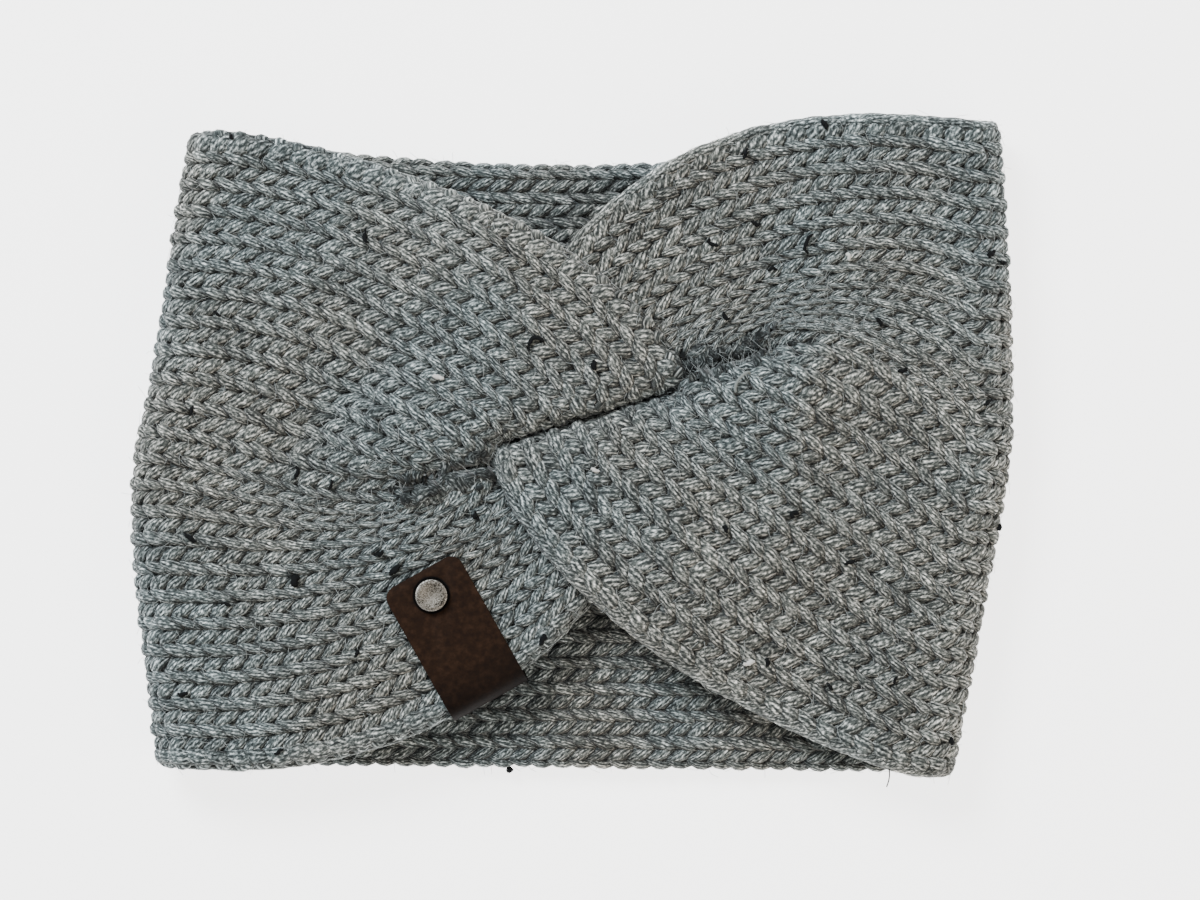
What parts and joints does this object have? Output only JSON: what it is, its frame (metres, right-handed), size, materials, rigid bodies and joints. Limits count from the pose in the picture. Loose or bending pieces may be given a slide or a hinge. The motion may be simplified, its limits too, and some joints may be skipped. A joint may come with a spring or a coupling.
{
  "type": "ear warmer headband",
  "caption": "Wide knitted loop for the head whose front is twisted into a knot, with a riveted leather tag on its edge.",
  "frame": {"origin": "middle of the box round the band, on the surface it lies on", "axes": "+X along the loop's flat length, +Y up the face as worn, +Z out of the twisted front"},
  "size_m": [0.2102, 0.1572, 0.0268],
  "materials": {
    "wool_knit": "heathered wool, hairy, matte",
    "tag_leather": "dark brown, light sheen",
    "rivet_metal": "antiqued nickel, pitted"
  },
  "bodies": {
    "root": {"knit_band": "wool_knit", "leather_tag": "tag_leather", "rivet_cap": "rivet_metal", "rivet_back": "rivet_metal"}
  },
  "joints": []
}
